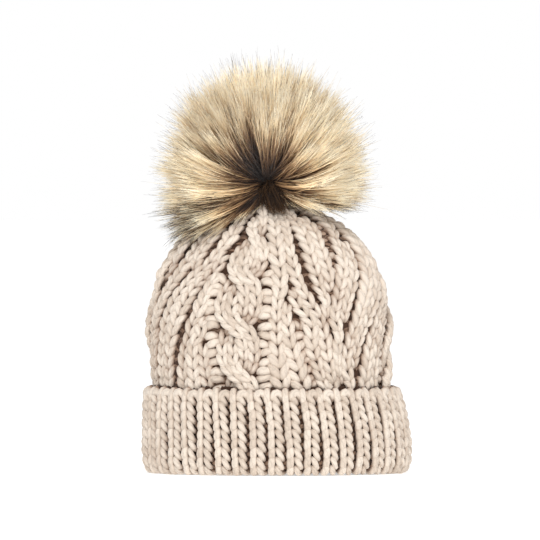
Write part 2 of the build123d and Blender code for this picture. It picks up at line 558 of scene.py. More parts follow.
@dataclass(frozen=True)
class YarnFinish:
    """Soft super-bulky yarn: loosely spun plies, painted brown and near-black shade between the stitches, a
    faint fuzz.
    """

    name: str = "oatmeal_yarn"
    crest: tuple = rgb(0.70, 0.61, 0.52)
    warm: tuple = rgb(0.57, 0.475, 0.39)
    # Painted shade: the next two colours are shaded copies of the yarn, brown for the sides of low strands
    # and near-black for the recesses between stitches.
    painted_flank_shade: tuple = rgb(0.32, 0.205, 0.14)
    painted_deep_shade: tuple = rgb(0.055, 0.027, 0.016)
    plies: float = 3.0
    twist: float = 0.55
    wander: float = 0.9
    own_shade: float = 0.4
    # Ranges of the stored rise over which the yarn turns to the painted brown shade and to the painted
    # near-black shade.
    painted_flank_shade_range: tuple[float, float] = (-1.2, 2.6)
    painted_deep_shade_range: tuple[float, float] = (-3.8, -1.2)
    ply_depth: float = 0.35
    fibre_depth: float = 0.22

    def make(self) -> bpy.types.Material:
        """Makes the material.

        Returns:
            The material.
        """
        r = Recipe(self.name)
        strand = r.node("UVMap", uv_map="Strand").outputs[0]
        split = r.node("SeparateXYZ")
        r.feed(split.inputs[0], strand)
        spiral = r.math("MULTIPLY", split.outputs[0], self.plies)
        spiral = r.math("ADD", spiral, r.math("MULTIPLY", split.outputs[1], self.twist))
        spiral = r.math("ADD", spiral, r.math("MULTIPLY", r.noise(2.5, 1), self.wander))
        ply = r.math("ABSOLUTE", r.math("SINE", r.math("MULTIPLY", spiral, pi)))
        patch = r.math("MULTIPLY", r.noise(14, 2), 1 - self.own_shade)
        shade = r.math("ADD", patch, r.math("MULTIPLY", r.stored("tint"), self.own_shade))
        colour = r.mix(r.scale(shade, 0.3, 0.75), self.crest, self.warm)
        # Painted shade in the grooves between the plies.
        colour = r.shaded(colour, r.scale(ply, 0.0, 0.55, 0.86, 1.0))
        # Painted shade: where the stored rise, with a little noise, is low, the colour goes to the brown
        # shade and then to the near-black shade.
        rise = r.math("ADD", r.stored("rise"), r.math("MULTIPLY", r.noise(3, 2), 1.2))
        colour = r.mix(r.scale(rise, *self.painted_flank_shade_range), self.painted_flank_shade, colour)
        colour = r.mix(r.scale(rise, *self.painted_deep_shade_range), self.painted_deep_shade, colour)
        r.bump(ply, self.ply_depth)
        r.bump(r.noise(0.35, 3), self.fibre_depth)
        return r.finish(
            colour, 0.92, sheen_weight=0.18, sheen_roughness=0.5, specular_ior_level=0.12
        )


@dataclass(frozen=True)
class HairFinish:
    """Long fur, coloured from root to tip."""

    name: str
    bands: tuple
    roughness: float = 0.55
    sheen: float = 0.12
    spread: float = 0.75
    tip_spread: float = 0.12
    tones: tuple = (
        (0.0, rgb(0.72, 0.68, 0.64)), (0.5, rgb(1, 1, 1)), (1.0, rgb(1.2, 1.16, 1.1)),
    )

    def make(self) -> bpy.types.Material:
        """Makes the material.

        Returns:
            The material.
        """
        r = Recipe(self.name)
        tint = r.stored("tint")
        along = r.stored("along")
        shift = r.math("MULTIPLY", r.math("SUBTRACT", tint, 0.5), self.spread)
        shift = r.math("MULTIPLY", shift, r.math("SUBTRACT", 1 + self.tip_spread, along))
        colour = r.ramp(r.math("ADD", along, shift), self.bands)
        colour = r.mix(1.0, colour, r.ramp(tint, self.tones), "MULTIPLY")
        colour = r.shaded(colour, r.scale(r.noise(9, 2), 0.3, 0.7, 0.85, 1.1))
        return r.finish(
            colour, self.roughness, sheen_weight=self.sheen, specular_ior_level=self.sheen * 2
        )


@dataclass(frozen=True)
class ClothFinish:
    """A matted, felted or braided cloth: two shades and fine fibres."""

    name: str
    light: tuple
    dark: tuple
    grain_mm: float = 0.6
    depth_mm: float = 0.25

    def make(self) -> bpy.types.Material:
        """Makes the material.

        Returns:
            The material.
        """
        r = Recipe(self.name)
        grain = r.noise(self.grain_mm, 4)
        cloud = r.noise(self.grain_mm * 12, 2)
        colour = r.mix(r.scale(r.math("ADD", grain, cloud), 0.7, 1.3), self.dark, self.light)
        r.bump(grain, self.depth_mm)
        roughness = r.scale(grain, 0.2, 0.8, 0.8, 0.97)
        return r.finish(colour, roughness, sheen_weight=0.3, specular_ior_level=0.2)


class Cloth(Enum):
    """The cloths and threads of the pom pom and its fastening."""

    ROOTS = ClothFinish("matted_fur_roots", rgb(0.16, 0.10, 0.06), rgb(0.03, 0.018, 0.01), 0.8, 0.5)
    BACKING = ClothFinish("fur_backing", rgb(0.34, 0.25, 0.17), rgb(0.17, 0.11, 0.07), 0.7)
    FILLING = ClothFinish("fibre_filling", rgb(0.86, 0.85, 0.82), rgb(0.62, 0.61, 0.59), 0.5, 0.6)
    FELT = ClothFinish("brown_felt", rgb(0.20, 0.14, 0.10), rgb(0.09, 0.06, 0.045), 0.5, 0.3)
    ELASTIC = ClothFinish("elastic_cover", rgb(0.80, 0.74, 0.66), rgb(0.52, 0.45, 0.37), 0.3, 0.12)
    THREAD = ClothFinish("sewing_thread", rgb(0.24, 0.16, 0.10), rgb(0.12, 0.08, 0.05), 0.25, 0.08)


@dataclass(frozen=True)
class MouldedFinish:
    """Moulded plastic with a soft swirl and fine wear."""

    name: str
    light: tuple
    dark: tuple

    def make(self) -> bpy.types.Material:
        """Makes the material.

        Returns:
            The material.
        """
        r = Recipe(self.name)
        swirl = r.node("TexWave", wave_type="RINGS")
        r.feed(swirl.inputs["Scale"], 60.0)
        r.feed(swirl.inputs["Distortion"], 6.0)
        r.feed(swirl.inputs["Vector"], r.node("TexCoord").outputs["Object"])
        colour = r.mix(swirl.outputs["Fac"], self.light, self.dark)
        wear = r.noise(0.5, 3)
        r.bump(wear, 0.03)
        return r.finish(colour, r.scale(wear, 0.3, 0.7, 0.38, 0.55), specular_ior_level=0.5)


# ---- knitting


@dataclass(frozen=True)
class Leg:
    """One strand of a stitch: points of (sideways, along, lift), and its middle and end radius."""

    points: tuple[tuple[float, float, float], ...]
    radius: float
    end_radius: float


class Knitting:
    """Shared ways to lay strands of yarn on a surface."""

    def __init__(self, seed: int, rings: int = 9, sides: int = 8) -> None:
        """Sets up the random draws and how finely strands are made.

        Args:
            seed: Seed of the random draws.
            rings: Points along each strand.
            sides: Corners round each strand.
        """
        self.random = np.random.default_rng(seed)
        self.rings = rings
        self.sides = sides

    def curves(self, leg: Leg, count: int, jitter: float) -> Array:
        """The leg's curve for many stitches, each a little different.

        Args:
            leg: The strand.
            count: Number of stitches.
            jitter: How far its points stray.

        Returns:
            Points of each curve, (count, rings, 3).
        """
        points = np.repeat(np.array(leg.points)[None], count, axis=0)
        points = points + self.random.normal(0, jitter, (count, 1, 3)) * (1, 1, 0.5)
        points = points + self.random.normal(0, jitter * 0.5, points.shape)
        return smooth_path(points, self.rings)

    def thickness(self, leg: Leg, count: int) -> Array:
        """Radius along each strand, thinner where it dives.

        Args:
            leg: The strand.
            count: Number of stitches.

        Returns:
            Radii, (count, rings).
        """
        swell = np.sin(np.linspace(0, pi, self.rings)) ** 0.6
        radius = leg.end_radius + (leg.radius - leg.end_radius) * swell
        return radius[None] * self.random.normal(1, 0.035, (count, 1))


def band_between(
    name: str, point: Callable, around: int, along: Array, lifts: tuple[float, float]
) -> Piece:
    """A closed tube of fabric round the hat, between two lifts.

    Args:
        name: Name of the piece.
        point: Gives the point for (share round, length along, lift).
        around: Number of points round the hat.
        along: Lengths along the fabric.
        lifts: Lift of its outer and its inner face.

    Returns:
        The new object.
    """
    share = np.arange(around) / around
    profile = np.concatenate([along, along[::-1]])
    lift = np.repeat(np.array(lifts), len(along))
    verts = point(share[:, None], profile[None], lift[None])
    count = len(profile)
    index = np.arange(around * count).reshape(around, count)
    ahead = np.roll(index, -1, axis=0)
    up = np.roll(index, -1, axis=1)
    faces = np.stack([index, ahead, np.roll(ahead, -1, axis=1), up], axis=-1)
    piece = surface(name, verts, faces)
    # Painted shade: the rise is the lift made 1.6 times lower, so the yarn's material paints this cloth
    # near-black.
    set_float(piece.data, "rise", np.broadcast_to(lift * 1.6, (around, count)).ravel())
    set_float(piece.data, "tint", np.full(around * count, 0.5))
    return piece


@dataclass
class RibBrim:
    """The folded brim in knit-one purl-one rib: cuff, fold and the band behind it."""

    form: HatForm
    ribs: int = 40
    rows: int = 9
    yarn: float = YARN_RADIUS
    two_layers: float = 14.4
    band_top: float = 62.0
    jitter: float = 0.16
    sway: float = 0.45
    sway_length: float = 11.0
    core_lifts: tuple[float, float] = (-3.3, -4.3)
    core_around: int = 240
    core_rows: int = 40

    def __post_init__(self) -> None:
        """Works out the fold, the rows and the width of a rib."""
        self.fold = self.two_layers / 2 - self.yarn
        self.top = self.form.cuff_height - 2 * self.yarn - self.fold
        self.start = -self.fold * pi / 2
        self.pitch = (self.top - self.start) / self.rows
        oval = self.form.cuff_half * (1 + self.form.ratio) / 2
        self.rib = tau * oval * 1.006 / self.ribs
        self.knit = Knitting(seed=11)

    def point(self, share: Array, along: Array, lift: Array) -> Array:
        """Points of the brim.

        Args:
            share: Share of the way round, 0 at the front.
            along: Length up the outer face from the fold's outer end. Below 0 it goes round
                the fold and then up the inner face.
            lift: Distance out of the fabric, from the middle of its yarn.

        Returns:
            Points, with a last axis of three.
        """
        turn = np.clip(-along / self.fold, 0, pi)
        rest = np.where(along < 0, np.clip(-along - pi * self.fold, 0, None), along)
        inward = self.yarn + self.fold * (1 - np.cos(turn)) - lift * np.cos(turn)
        z = self.yarn + self.fold * (1 - np.sin(turn)) + rest
        half = self.form.cuff_half_at(z)
        angle = self.form.angle_at(share)
        nx = self.form.ratio * np.sin(angle)
        ny = -np.cos(angle)
        size = np.hypot(nx, ny)
        x = self.form.lean_at(z) + half * np.sin(angle) - inward * nx / size
        y = -self.form.ratio * half * np.cos(angle) - inward * ny / size
        return np.stack(np.broadcast_arrays(x, y, z - lift * np.sin(turn)), axis=-1)

    def lay(self, batch: StrandBatch, leg: Leg, rib: Array, base: Array, flip: float = 1.0) -> None:
        """Lays one kind of leg at many places.

        Args:
            batch: Takes the strands.
            leg: The strand to lay.
            rib: Which rib each one is in, and a part of a rib to shift it.
            base: Length along the brim where each stitch starts.
            flip: -1 for the inner face, where lengths run the other way.
        """
        count = len(rib)
        local = self.knit.curves(leg, count, self.jitter)
        wander = self.sway * np.sin(base[:, None] / self.sway_length + rib[:, None] * 2.4)
        share = (rib[:, None] + (local[..., 0] * flip + wander) / self.rib) / self.ribs
        along = base[:, None] + flip * local[..., 1]
        lift = local[..., 2]
        paths = self.point(share, along, lift)
        outward = self.point(share, along, lift + 1) - paths
        tint = self.knit.random.random(count)
        # The lift is stored as the rise, from which the yarn's material paints shade on low strands.
        batch.add(paths, self.knit.thickness(leg, count), outward, lift, tint)

    def legs(self) -> tuple[Leg, Leg, Leg]:
        """The strands of one rib stitch.

        Returns:
            The smooth leg, the slanting rope-like leg, and the bar in the gap.
        """
        p = self.pitch
        smooth = (
            (-3.6, -1.6, -2.2), (-4.1, 1.2, -0.1), (-3.8, 0.55 * p, 0.4),
            (-3.5, p - 0.6, -0.3), (-3.3, p + 1.5, -2.4),
        )
        rope = (
            (-0.6, p + 0.4, -2.8), (0.2, 0.86 * p, -0.5), (1.7, 0.42 * p, 0.6),
            (3.3, -0.3, -0.5), (4.2, -1.9, -3.2),
        )
        bar = ((3.8, 0.55 * p, -4.6), (6.0, 0.42 * p, -3.9), (8.2, 0.55 * p, -4.6))
        return Leg(smooth, 2.6, 1.9), Leg(rope, 2.15, 1.2), Leg(bar, 1.8, 1.5)

    def edge(self) -> tuple[Leg, Leg, Leg]:
        """The strands of one rib at the cuff's free edge.

        Returns:
            The knob, the loop and the rolled yarn.
        """
        knob = (
            (-3.6, -5, -0.4), (-3.8, -2, 0.3), (-3.6, 0.8, -0.3),
            (-3.2, 2.0, -2.6), (-2.8, 0.8, -5.2),
        )
        loop = (
            (0.5, -5.0, -1.2), (1.1, -2.0, 0.1), (2.9, 0.3, 0.3), (5.3, 0.2, -0.1),
            (6.8, -2.0, -1.3), (7.1, -5.0, -3.2),
        )
        roll = ((-6.8, -1.0, -4.4), (0, 0.0, -4.7), (6.8, -1.0, -4.4))
        return Leg(knob, 2.5, 2.2), Leg(loop, 2.7, 2.2), Leg(roll, 2.5, 2.4)

    def cuff(self) -> Piece:
        """The outer face and half the fold, with the loops of its free edge.

        Returns:
            The new object.
        """
        batch = StrandBatch(self.knit.sides)
        rib, row = np.meshgrid(np.arange(self.ribs), np.arange(self.rows))
        base = self.start + row.ravel() * self.pitch
        for leg in self.legs():
            self.lay(batch, leg, rib.ravel().astype(float), base)
        ribs = np.arange(self.ribs, dtype=float)
        for leg in self.edge():
            self.lay(batch, leg, ribs, np.full(self.ribs, self.top))
        return batch.build("cuff_rib_stitches")

    def band(self) -> Piece:
        """The inner face of the brim, its ribs half a rib out of step with the cuff's.

        Returns:
            The new object.
        """
        batch = StrandBatch(self.knit.sides)
        rows = self.rows + 1
        rib, row = np.meshgrid(np.arange(self.ribs) + 0.5, np.arange(rows))
        base = self.start - row.ravel() * self.pitch
        for leg in self.legs():
            self.lay(batch, leg, rib.ravel(), base, flip=-1.0)
        return batch.build("band_rib_stitches")

    def cores(self) -> list[Piece]:
        """Makes the cloth behind the stitches, painted as shade between them.

        Returns:
            The cuff's cloth and the band's.
        """
        end = -pi * self.fold - (self.band_top - self.yarn - self.fold)
        reaches = {"cuff": (self.start - 1, self.top), "band": (end, self.start + 1)}
        return [
            band_between(
                f"{name}_fabric", self.point, self.core_around,
                np.linspace(*reach, self.core_rows), self.core_lifts,
            )
            for name, reach in reaches.items()
        ]

    def build(self, yarn: bpy.types.Material) -> None:
        """Builds and dresses the brim.

        Args:
            yarn: The yarn's material.
        """
        cuff, band = self.cuff(), self.band()
        cores = self.cores()
        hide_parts("turned_up_cuff")
        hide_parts("inner_rib_band")
        for piece in (cuff, band, *cores):
            dress(piece, yarn, "hat")


def dress(piece: Piece, material: bpy.types.Material, body: str) -> None:
    """Gives a piece its material and its body, and logs it.

    Args:
        piece: The piece.
        material: Its material.
        body: The body that it moves with.
    """
    piece.data.materials.clear()
    piece.data.materials.append(material)
    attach(piece, body)
    LOG.info("%s: %d faces, on %s", piece.name, len(piece.data.polygons), body)


# ---- crown


class Stitching(Enum):
    """How the space between two furrows is knitted."""

    WALES = "plain wales side by side"
    CABLE_TO_LEFT = "two strands crossing, the front one going up to the left"
    CABLE_TO_RIGHT = "two strands crossing, the front one going up to the right"


@dataclass(frozen=True)
class Furrow:
    """A sunken line up the crown: (height, degrees from the front) on its way, and half its width.

    It has purl bumps between the heights in rungs, at a depth below the wales. It is open between
    the heights in gap, and closes beyond them.
    """

    way: tuple[tuple[float, float], ...]
    half: float
    rungs: tuple[float, float] = (0.0, 0.0)
    depth: float = 1.6
    gap: tuple[float, float] = (40.0, 200.0)

    def half_at(self, height: Array) -> Array:
        """Half its width at a height.

        Args:
            height: Height.

        Returns:
            Half width.
        """
        low, high = self.gap
        above = np.clip((height - high + CLOSING / 2) / CLOSING, 0, 1)
        below = np.clip((low - height + CLOSING / 2) / CLOSING, 0, 1)
        return self.half * (1 - CLOSED * np.minimum(above + below, 1))

    def degrees(self, height: Array) -> Array:
        """Its place round the hat, smooth between the given ones.

        Args:
            height: Height.

        Returns:
            Degrees from the front.
        """
        z, angle = (np.array(column, float) for column in zip(*self.way))
        slope = np.gradient(angle, z)
        height = np.clip(height, z[0], z[-1])
        i = np.clip(np.searchsorted(z, height) - 1, 0, len(z) - 2)
        step = z[i + 1] - z[i]
        t = (height - z[i]) / step
        rise = t * t * (3 - 2 * t)
        ends = slope[i] * step * t * (1 - t) ** 2 - slope[i + 1] * step * t * t * (1 - t)
        return angle[i] + (angle[i + 1] - angle[i]) * rise + ends


@dataclass(frozen=True)
class Panel:
    """Knitting between one furrow and the next: its kind, its wales and the heights it lies between."""

    kind: Stitching
    wales: int
    low: float = 57.0
    high: float = 190.0
    from_right: bool = False


@dataclass
class CableCrown:
    """The gathered crown of cables and wales that swirl towards the peak."""

    form: HatForm
    yarn: float = YARN_RADIUS
    pitch: float = 7.9
    wale: float = 10.6
    rung_pitch: float = 6.0
    rung_room: float = 1.8
    cable_lift: float = 2.6
    cable_pitch: float = 70.0
    cable_phase: float = 0.49
    least_wale: float = 8.2
    ridge: float = 3.0
    sink: float = 0.9
    overlap: float = 6.0
    tilt: float = 0.07
    tuck: float = 3.6
    tuck_length: float = 11.0
    jitter: float = 0.3
    front_panels: int = 9
    back_turns: range = range(66, 265, 22)
    strand_share: float = 0.25
    wale_share: float = 0.12
    inner_wale: float = 9.5
    core_lifts: tuple[float, float] = (-2.9, -4.0)

    def __post_init__(self) -> None:
        """Sets up the random draws."""
        self.knit = Knitting(seed=23)

    def furrows(self) -> list[Furrow]:
        """The sunken lines between the panels.

        Returns:
            The furrows, anticlockwise from the left of the front, as seen from above.
        """
        front = [
            Furrow(((60, -74), (95, -70), (110, -66), (133, -54), (150, -41), (172, -33)), 3.0),
            Furrow(((60, -55), (78, -53), (110, -44), (134, -34), (151, -23), (172, -18)), 3.3),
            Furrow(
                ((60, -27), (95, -28.6), (118, -29.8), (134, -28), (151, -22.6), (172, -17.6)),
                3.5, (57, 150), gap=(40, 143),
            ),
            Furrow(
                ((60, -3), (93, -2), (115, -1.5), (144, 0), (172, -1)),
                3.4, (57, 152), gap=(40, 146),
            ),
            Furrow(
                ((60, 22), (70, 20), (93, 15), (116, 10.5), (150, 9.5), (172, 9)),
                2.7, (57, 104), 3.4, (40, 104),
            ),
            Furrow(
                ((60, 35), (75, 33.4), (97, 30.8), (112, 27.5), (125, 23), (150, 18), (172, 17)),
                3.1, gap=(120, 170),
            ),
            Furrow(
                ((60, 36.5), (97, 32.5), (112, 30), (125, 33), (143, 37.4), (160, 39.5), (180, 46)),
                3.8, (140, 183), 4.8, (146, 200),
            ),
            Furrow(
                ((60, 37.5), (80, 35.5), (89, 37), (108, 42.4), (122, 47), (144, 57), (165, 62),
                 (180, 66)),
                2.1,
            ),
            Furrow(((60, 46), (80, 50), (97, 54.8), (111, 62.8), (125, 74), (140, 84), (165, 92)), 2.1),
        ]
        swirl = ((60, 0), (95, 8), (130, 28), (160, 39), (180, 42))
        back = [
            Furrow(tuple((z, turn + more) for z, more in swirl), 3.2, (57, 150), 2.6, (40, 165))
            for turn in self.back_turns
        ]
        return front + back

    def panels(self) -> list[Panel]:
        """The knitting between the furrows.

        Returns:
            The panel to the right of each furrow, in the same order.
        """
        plain, left, right = Stitching.WALES, Stitching.CABLE_TO_LEFT, Stitching.CABLE_TO_RIGHT
        front = [
            Panel(plain, 2), Panel(plain, 3, high=150), Panel(left, 4), Panel(plain, 2),
            Panel(plain, 3, from_right=True), Panel(plain, 2, low=108), Panel(plain, 2, low=60),
            Panel(plain, 2), Panel(plain, 3),
        ]
        wide = Panel(plain, 3)
        back = [
            Panel(right, 4), wide, wide, Panel(left, 4), wide,
            Panel(right, 4), wide, wide, Panel(left, 4), wide,
        ]
        return front + back

    def legs(self) -> tuple[Leg, Leg]:
        """The strands of one stitch.

        Returns:
            The slanting left leg and the straighter right leg.
        """
        p = self.pitch
        left = (
            (-5.0, 0.95 * p, -2.7), (-4.2, 0.72 * p, -0.6), (-2.6, 0.28 * p, 0.8),
            (-0.9, -0.18 * p, -0.5), (-0.1, -0.42 * p, -2.9),
        )
        right = (
            (4.6, 0.98 * p, -2.5), (4.3, 0.7 * p, -0.4), (3.2, 0.25 * p, 0.6),
            (1.9, -0.2 * p, -0.4), (1.2, -0.42 * p, -2.9),
        )
        return Leg(left, 2.65, 1.6), Leg(right, 2.55, 1.6)

    def lay(
        self, batch: StrandBatch, legs: tuple[Leg, ...], angle: Array, up: Array, lift: Array,
        width: Array, pitch: float, size: float, wobble: float = 1.0,
    ) -> None:
        """Lays stitches up one line of the crown.

        Args:
            batch: Takes the strands.
            legs: The strands of one stitch.
            angle: Angle round the hat, at many places up the line.
            up: Length up the crown at the same places.
            lift: Lift at the same places.
            width: Width that a stitch has there.
            pitch: Distance from a stitch to the next.
            size: Width that the legs are drawn for.
            wobble: How uneven they are.
        """
        normal = self.form.crown_normal(angle, up)
        line = self.form.crown_point(angle, up) + normal * (lift - self.yarn - self.sink)[:, None]
        reach = np.concatenate([[0], np.cumsum(np.linalg.norm(np.diff(line, axis=0), axis=1))])
        count = int(reach[-1] / pitch) - 1
        if count < 1:
            return
        base = (np.arange(count) + 0.5) * pitch
        base = base + self.knit.random.uniform(-0.3, 0.3) * pitch
        scale = np.interp(base, reach, width) / size
        girth = np.clip(scale * 1.08, 0.82, 1.2)
        tangent = unit(np.gradient(line, reach, axis=0))
        side = np.cross(tangent, normal)
        for leg in legs:
            local = self.knit.curves(leg, count, self.jitter * wobble)
            turn = self.knit.random.normal(0, self.tilt * wobble, (count, 1))
            place = base[:, None] + local[..., 1] + turn * local[..., 0]
            at, across, out = (
                np.stack([np.interp(place, reach, column) for column in table.T], axis=-1)
                for table in (line, side, normal)
            )
            paths = at + across * (local[..., :1] * scale[:, None, None]) + out * local[..., 2:]
            # Painted shade: 0.8 of the lift goes into the rise, so sunken panel edges, tucked ends and the
            # purl bumps down in the furrows are painted darker.
            rise = local[..., 2] + np.interp(place, reach, lift) * 0.8
            radii = self.knit.thickness(leg, count) * girth[:, None]
            batch.add(paths, radii, out, rise, self.knit.random.random(count))

    def span(self, low: float, high: float) -> tuple[Array, Array]:
        """Places up the crown between two heights.

        Args:
            low: The lower height.
            high: The higher height.

        Returns:
            Length up the crown at each place, and its height.
        """
        top = min(self.form.up_at(high), self.form.crown_length)
        up = np.linspace(self.form.up_at(low), top, 160)
        return up, self.form.level(up)[1]

    def panel(
        self, batch: StrandBatch, panel: Panel, left: Furrow, right: Furrow, turn: float
    ) -> None:
        """Knits one panel between its furrows.

        Args:
            batch: Takes the strands.
            panel: What to knit.
            left: Furrow on its left.
            right: Furrow on its right.
            turn: Degrees to add to the right furrow, 360 for the last panel.
        """
        up, height = self.span(panel.low, panel.high)
        start = np.radians(left.degrees(height))
        end = np.radians(right.degrees(height) + turn)
        scale = self.form.arc_scale((start + end) / 2, up)
        start = start + left.half_at(height) / scale
        end = end - right.half_at(height) / scale
        full = (end - start) * scale
        for k in range(panel.wales):
            if panel.kind is Stitching.WALES:
                slant = np.gradient((start + end) / 2, up) * scale
                room = np.round(np.clip(full / np.hypot(1, slant) / self.least_wale, 1, panel.wales))
                room = np.convolve(np.pad(room, 6, mode="edge"), np.full(13, 1 / 13), mode="valid")
                across = np.minimum((k + 0.5) / room, 1.06)
                across = 1 - across if panel.from_right else across
                lift = 0.5 * np.sin(up / 9 + 1.7 * k + panel.low)
                lift = lift - self.ridge * (2 * across - 1) ** 2
                there = k + 0.45 < room
            else:
                paired = np.clip((full - 15) / 8, 0, 1)
                room = 2 + 2 * paired
                across, lift = self.cable(k, up, paired, panel.kind is Stitching.CABLE_TO_LEFT)
                there = (k % 2 == 0) | (paired > 0.35)
            angle = start + (end - start) * across
            slant = np.gradient(angle, up) * scale * 0.7
            width = np.clip(full / room / np.hypot(1, slant), 5.4, self.wale * 1.2)
            self.run(batch, angle, up, lift, width, np.nonzero(there)[0])

    def run(
        self, batch: StrandBatch, angle: Array, up: Array, lift: Array, width: Array, there: Array
    ) -> None:
        """Lays one wale where there is room for it, and tucks its ends under its neighbours.

        Args:
            batch: Takes the strands.
            angle: Angle round the hat up the wale.
            up: Length up the crown.
            lift: Lift out of the fabric.
            width: Width of its stitches.
            there: Which of those places the wale reaches.
        """
        if len(there) < 6:
            return
        more = int(self.overlap / (up[1] - up[0]))
        some = slice(max(there[0] - more, 0), there[-1] + 1 + more)
        angle, up, lift, width = angle[some], up[some], lift[some], width[some]
        if up[0] > self.form.up_at(self.form.crown_start) + 1:
            lift = lift - self.tuck * np.clip(1 - (up - up[0]) / self.tuck_length, 0, 1)
        if up[-1] < self.form.crown_length - 1:
            lift = lift - self.tuck * np.clip(1 - (up[-1] - up) / self.tuck_length, 0, 1)
        self.lay(batch, self.legs(), angle, up, lift, width, self.pitch, self.wale)

    def cable(self, k: int, up: Array, paired: Array, to_left: bool) -> tuple[Array, Array]:
        """Where wale k of a cable runs: two wales to a strand, and two strands that cross.

        Args:
            k: Which of the four wales.
            up: Length up the crown.
            paired: 1 where a strand has two wales, and 0 where it has narrowed to one.
            to_left: Whether the front strand goes up to the left.

        Returns:
            Share of the way across the panel, and lift.
        """
        phase = up / self.cable_pitch * tau + pi * (k // 2) + self.cable_phase
        swing = np.tanh(1.5 * np.cos(phase)) / np.tanh(1.5)
        lift = self.cable_lift * np.sin(phase)
        swing = swing if to_left else -swing
        share = 0.5 + self.strand_share * swing
        return share + self.wale_share * (2 * (k % 2) - 1) * paired, lift

    def rungs(self, batch: StrandBatch, furrow: Furrow) -> None:
        """Lays the stacked plump purl bumps down in a furrow.

        Args:
            batch: Takes the strands.
            furrow: The furrow.
        """
        up, height = self.span(*furrow.rungs)
        angle = np.radians(furrow.degrees(height))
        r = furrow.half + self.rung_room
        points = (
            (-r, -2.4, -3.4), (-0.66 * r, -0.2, -0.6), (0, 0.9, 0.8),
            (0.62 * r, 0.9, -0.3), (r, -0.8, -3.2),
        )
        legs = (Leg(points, 2.85, 1.3),)
        lift = np.full_like(up, -furrow.depth)
        self.lay(batch, legs, angle, up, lift, np.ones_like(up), self.rung_pitch, 1.0, 2.2)

    def inside(self) -> Piece:
        """Makes the purl bumps of the crown's inner face.

        Returns:
            The new object.
        """
        knit = Knitting(seed=31, rings=6, sides=6)
        batch = StrandBatch(knit.sides)
        points = ((-4.6, -0.8, 0.6), (-2.0, 0.8, 0.0), (2.0, 0.8, 0.0), (4.6, -0.8, 0.6))
        bump = Leg(points, 1.9, 1.5)
        for up in np.arange(3.0, self.form.crown_length - 4, self.pitch * 0.86):
            half = self.form.arc_scale(np.zeros(1), np.array([up]))[0]
            across = half * (1 + self.form.ratio) / 2 * tau
            count = max(6, int(across / self.inner_wale))
            share = (np.arange(count) + 0.5 * (int(up) % 2)) / count
            local = knit.curves(bump, count, 0.25)
            place = up + local[..., 1]
            angle = self.form.angle_at(share[:, None] + local[..., 0] / across)
            normal = self.form.crown_normal(angle, place)
            lift = local[..., 2] - 2 * self.yarn - self.sink
            lift = lift - 0.8 * np.clip(self.form.crown_length - up, 0, 25) / 25
            paths = self.form.crown_point(angle, place) + normal * lift[..., None]
            radii = knit.thickness(bump, count)
            # Painted shade: a rise of -1.4 and lower paints the inside of the crown in the brown and
            # near-black shade.
            batch.add(paths, radii, -normal, -1.4 - local[..., 2], knit.random.random(count))
        return batch.build("crown_inner_bumps")

    def core(self) -> Piece:
        """Makes the cloth behind the crown's stitches, painted as shade between them.

        Returns:
            The new object.
        """

        def point(share: Array, along: Array, lift: Array) -> Array:
            """A point of the cloth.

            Args:
                share: Share of the way round.
                along: Length up the crown.
                lift: Distance out of the fabric.

            Returns:
                Points, with a last axis of three.
            """
            angle = self.form.angle_at(share) + 0 * along
            along = along + 0 * angle
            out = self.form.crown_normal(angle, along)
            return self.form.crown_point(angle, along) + out * (lift - self.yarn)[..., None]

        along = np.linspace(0.5, self.form.crown_length, 70)
        return band_between("crown_fabric", point, 200, along, self.core_lifts)

    def build(self, yarn: bpy.types.Material) -> None:
        """Builds and dresses the crown.

        Args:
            yarn: The yarn's material.
        """
        furrows = self.furrows()
        batches = {name: StrandBatch(self.knit.sides) for name in ("front", "back", "rungs")}
        for i, (furrow, panel) in enumerate(zip(furrows, self.panels())):
            last = i == len(furrows) - 1
            batch = batches["front" if i < self.front_panels else "back"]
            right, turn = (furrows[0], 360.0) if last else (furrows[i + 1], 0.0)
            self.panel(batch, panel, furrow, right, turn)
            if furrow.rungs[1] > furrow.rungs[0]:
                self.rungs(batches["rungs"], furrow)
        pieces = [batch.build(f"crown_{name}_stitches") for name, batch in batches.items()]
        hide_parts("cable_crown")
        for piece in (*pieces, self.core(), self.inside()):
            dress(piece, yarn, "hat")


# ---- pom pom


@dataclass(frozen=True)
class HairKind:
    """One kind of hair.

    It has a number, a reach from the centre, a radius, a stray of its ends, the highest direction
    it grows in, and its colours from root to tip.
    """

    name: str
    count: int
    reach: tuple[float, float]
    radius: float
    stray: float
    highest: float
    bands: tuple


ROOT = (0.00, rgb(0.012, 0.005, 0.002))


